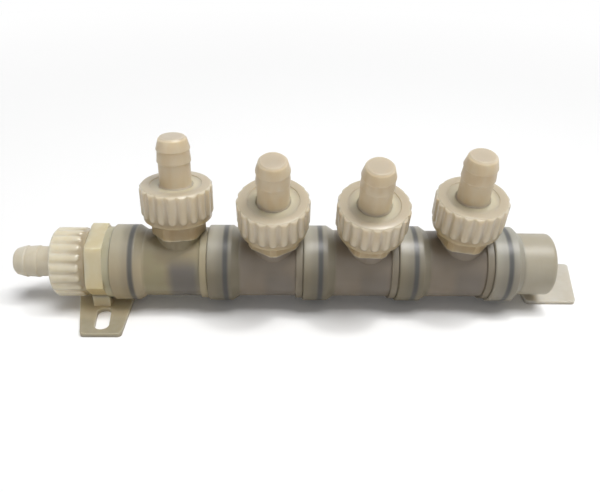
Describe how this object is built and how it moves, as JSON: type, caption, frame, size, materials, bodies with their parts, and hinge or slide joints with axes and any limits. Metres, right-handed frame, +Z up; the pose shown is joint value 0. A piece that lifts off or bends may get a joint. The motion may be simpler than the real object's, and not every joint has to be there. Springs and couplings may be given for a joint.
{
  "type": "water distribution manifold",
  "caption": "Modular water manifold: tees plugged in a row on sealed swivel joints, each with a splined union nut and ridged hose tail, an inlet at one end, a closed cap and slotted feet.",
  "frame": {"origin": "on the floor plane under the feet, at the middle of the overall length and width, under the tube axis", "axes": "+X along the tube run from the inlet tail to the closed cap, +Z up, -Y to the front foot"},
  "size_m": [0.222, 0.05, 0.0663],
  "materials": {
    "body_plastic": "satin, milky translucent",
    "fitting_plastic": "natural moulded, slightly glossy",
    "seal_rubber": "matt black",
    "gasket_rubber": "matt dark grey"
  },
  "bodies": {
    "inlet": {"inlet_hex": "fitting_plastic", "inlet_foot": "fitting_plastic", "inlet_gasket": "gasket_rubber", "o_ring_1": "seal_rubber"},
    "inlet_tail": {"inlet_barb": "fitting_plastic"},
    "inlet_union": {"inlet_nut": "fitting_plastic"},
    "module_1": {"tee_1": "body_plastic", "outlet_hex_1": "fitting_plastic", "outlet_gasket_1": "gasket_rubber", "o_ring_2": "seal_rubber"},
    "tail_1": {"outlet_barb_1": "fitting_plastic"},
    "union_1": {"outlet_nut_1": "fitting_plastic"},
    "module_2": {"tee_2": "body_plastic", "outlet_hex_2": "fitting_plastic", "outlet_gasket_2": "gasket_rubber", "o_ring_3": "seal_rubber"},
    "tail_2": {"outlet_barb_2": "fitting_plastic"},
    "union_2": {"outlet_nut_2": "fitting_plastic"},
    "module_3": {"tee_3": "body_plastic", "outlet_hex_3": "fitting_plastic", "outlet_gasket_3": "gasket_rubber", "o_ring_4": "seal_rubber"},
    "tail_3": {"outlet_barb_3": "fitting_plastic"},
    "union_3": {"outlet_nut_3": "fitting_plastic"},
    "module_4": {"tee_4": "body_plastic", "outlet_hex_4": "fitting_plastic", "outlet_gasket_4": "gasket_rubber", "o_ring_5": "seal_rubber"},
    "tail_4": {"outlet_barb_4": "fitting_plastic"},
    "union_4": {"outlet_nut_4": "fitting_plastic"},
    "end": {"end_cap": "body_plastic", "end_foot": "fitting_plastic"}
  },
  "joints": [
    {"name": "inlet_tail_lift", "type": "slide", "parent": "inlet", "child": "inlet_tail", "axis": [-1, 0, 0], "range_m": [0, 0.0062]},
    {"name": "inlet_nut_turn", "type": "hinge", "parent": "inlet_tail", "child": "inlet_union", "pos_m": [-0.08711, 0, 0.0166], "axis": [-1, 0, 0], "range_deg": [0, 1080]},
    {"name": "module_1_swivel", "type": "hinge", "parent": "inlet", "child": "module_1", "pos_m": [-0.06659, 0, 0.0166], "axis": [1, 0, 0], "continuous": true},
    {"name": "outlet_1_tail_lift", "type": "slide", "parent": "module_1", "child": "tail_1", "axis": [0, 0.0262, 0.9997], "range_m": [0, 0.0062]},
    {"name": "outlet_1_nut_turn", "type": "hinge", "parent": "tail_1", "child": "union_1", "pos_m": [-0.04912, 0.0005, 0.03569], "axis": [0, 0.0262, 0.9997], "range_deg": [0, 1080]},
    {"name": "module_2_swivel", "type": "hinge", "parent": "module_1", "child": "module_2", "pos_m": [-0.03165, 0, 0.0166], "axis": [1, 0, 0], "continuous": true},
    {"name": "outlet_2_tail_lift", "type": "slide", "parent": "module_2", "child": "tail_2", "axis": [0, -0.2924, 0.9563], "range_m": [0, 0.0062]},
    {"name": "outlet_2_nut_turn", "type": "hinge", "parent": "tail_2", "child": "union_2", "pos_m": [-0.01418, -0.00558, 0.03487], "axis": [0, -0.2924, 0.9563], "range_deg": [0, 1080]},
    {"name": "module_3_swivel", "type": "hinge", "parent": "module_2", "child": "module_3", "pos_m": [0.00329, 0, 0.0166], "axis": [1, 0, 0], "continuous": true},
    {"name": "outlet_3_tail_lift", "type": "slide", "parent": "module_3", "child": "tail_3", "axis": [0, -0.3338, 0.9426], "range_m": [0, 0.0062]},
    {"name": "outlet_3_nut_turn", "type": "hinge", "parent": "tail_3", "child": "union_3", "pos_m": [0.02076, -0.00638, 0.0346], "axis": [0, -0.3338, 0.9426], "range_deg": [0, 1080]},
    {"name": "module_4_swivel", "type": "hinge", "parent": "module_3", "child": "module_4", "pos_m": [0.03823, 0, 0.0166], "axis": [1, 0, 0], "continuous": true},
    {"name": "outlet_4_tail_lift", "type": "slide", "parent": "module_4", "child": "tail_4", "axis": [0, -0.2164, 0.9763], "range_m": [0, 0.0062]},
    {"name": "outlet_4_nut_turn", "type": "hinge", "parent": "tail_4", "child": "union_4", "pos_m": [0.0557, -0.00413, 0.03525], "axis": [0, -0.2164, 0.9763], "range_deg": [0, 1080]},
    {"name": "end_swivel", "type": "hinge", "parent": "module_4", "child": "end", "pos_m": [0.07317, 0, 0.0166], "axis": [1, 0, 0], "continuous": true}
  ],
  "couplings": [
    {"joint": "inlet_tail_lift", "follows": "inlet_nut_turn", "m_per_rad": 0.00031831},
    {"joint": "outlet_1_tail_lift", "follows": "outlet_1_nut_turn", "m_per_rad": 0.00031831},
    {"joint": "outlet_2_tail_lift", "follows": "outlet_2_nut_turn", "m_per_rad": 0.00031831},
    {"joint": "outlet_3_tail_lift", "follows": "outlet_3_nut_turn", "m_per_rad": 0.00031831},
    {"joint": "outlet_4_tail_lift", "follows": "outlet_4_nut_turn", "m_per_rad": 0.00031831}
  ]
}
